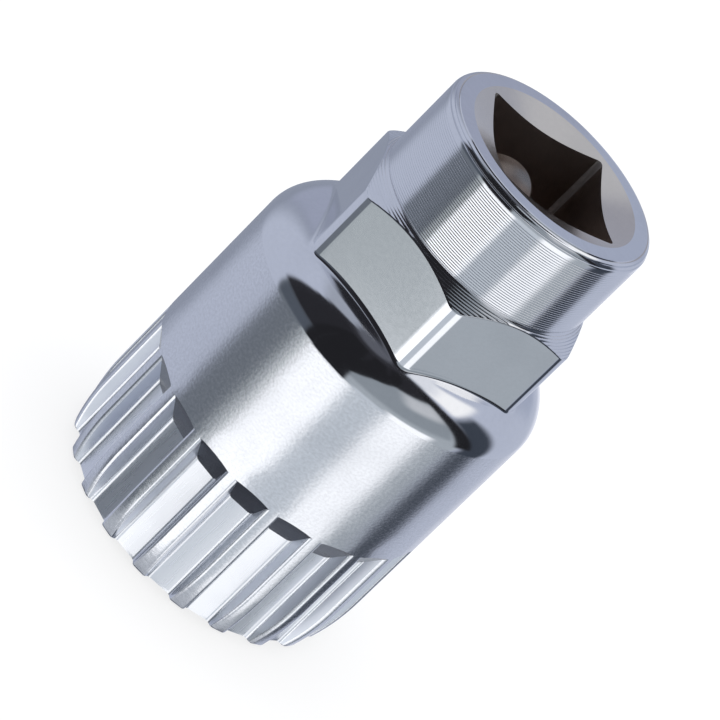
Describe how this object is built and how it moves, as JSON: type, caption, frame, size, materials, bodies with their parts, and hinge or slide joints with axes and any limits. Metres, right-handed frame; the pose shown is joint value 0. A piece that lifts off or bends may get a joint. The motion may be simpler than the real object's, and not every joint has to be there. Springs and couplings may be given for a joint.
{
  "type": "bottom bracket tool",
  "caption": "One-piece steel socket tool with a splined nose, a domed barrel, a spanner hexagon and a turned collar with a square drive hole; turns splined bottom bracket cups.",
  "frame": {"origin": "centre of the splined end's flat face, on which the tool stands", "axes": "+Z along the tool's axis, from the splined end to the square drive; the square drive's walls face X and Y, and the wall on the +Y side holds the recess for the ball"},
  "size_m": [0.032, 0.032, 0.0512],
  "materials": {
    "plated_steel": "bright nickel-chrome plate: satin on the barrel, fine turned rings on the collar, polished elsewhere"
  },
  "bodies": {
    "root": {"bottom_bracket_tool": "plated_steel"}
  },
  "joints": []
}
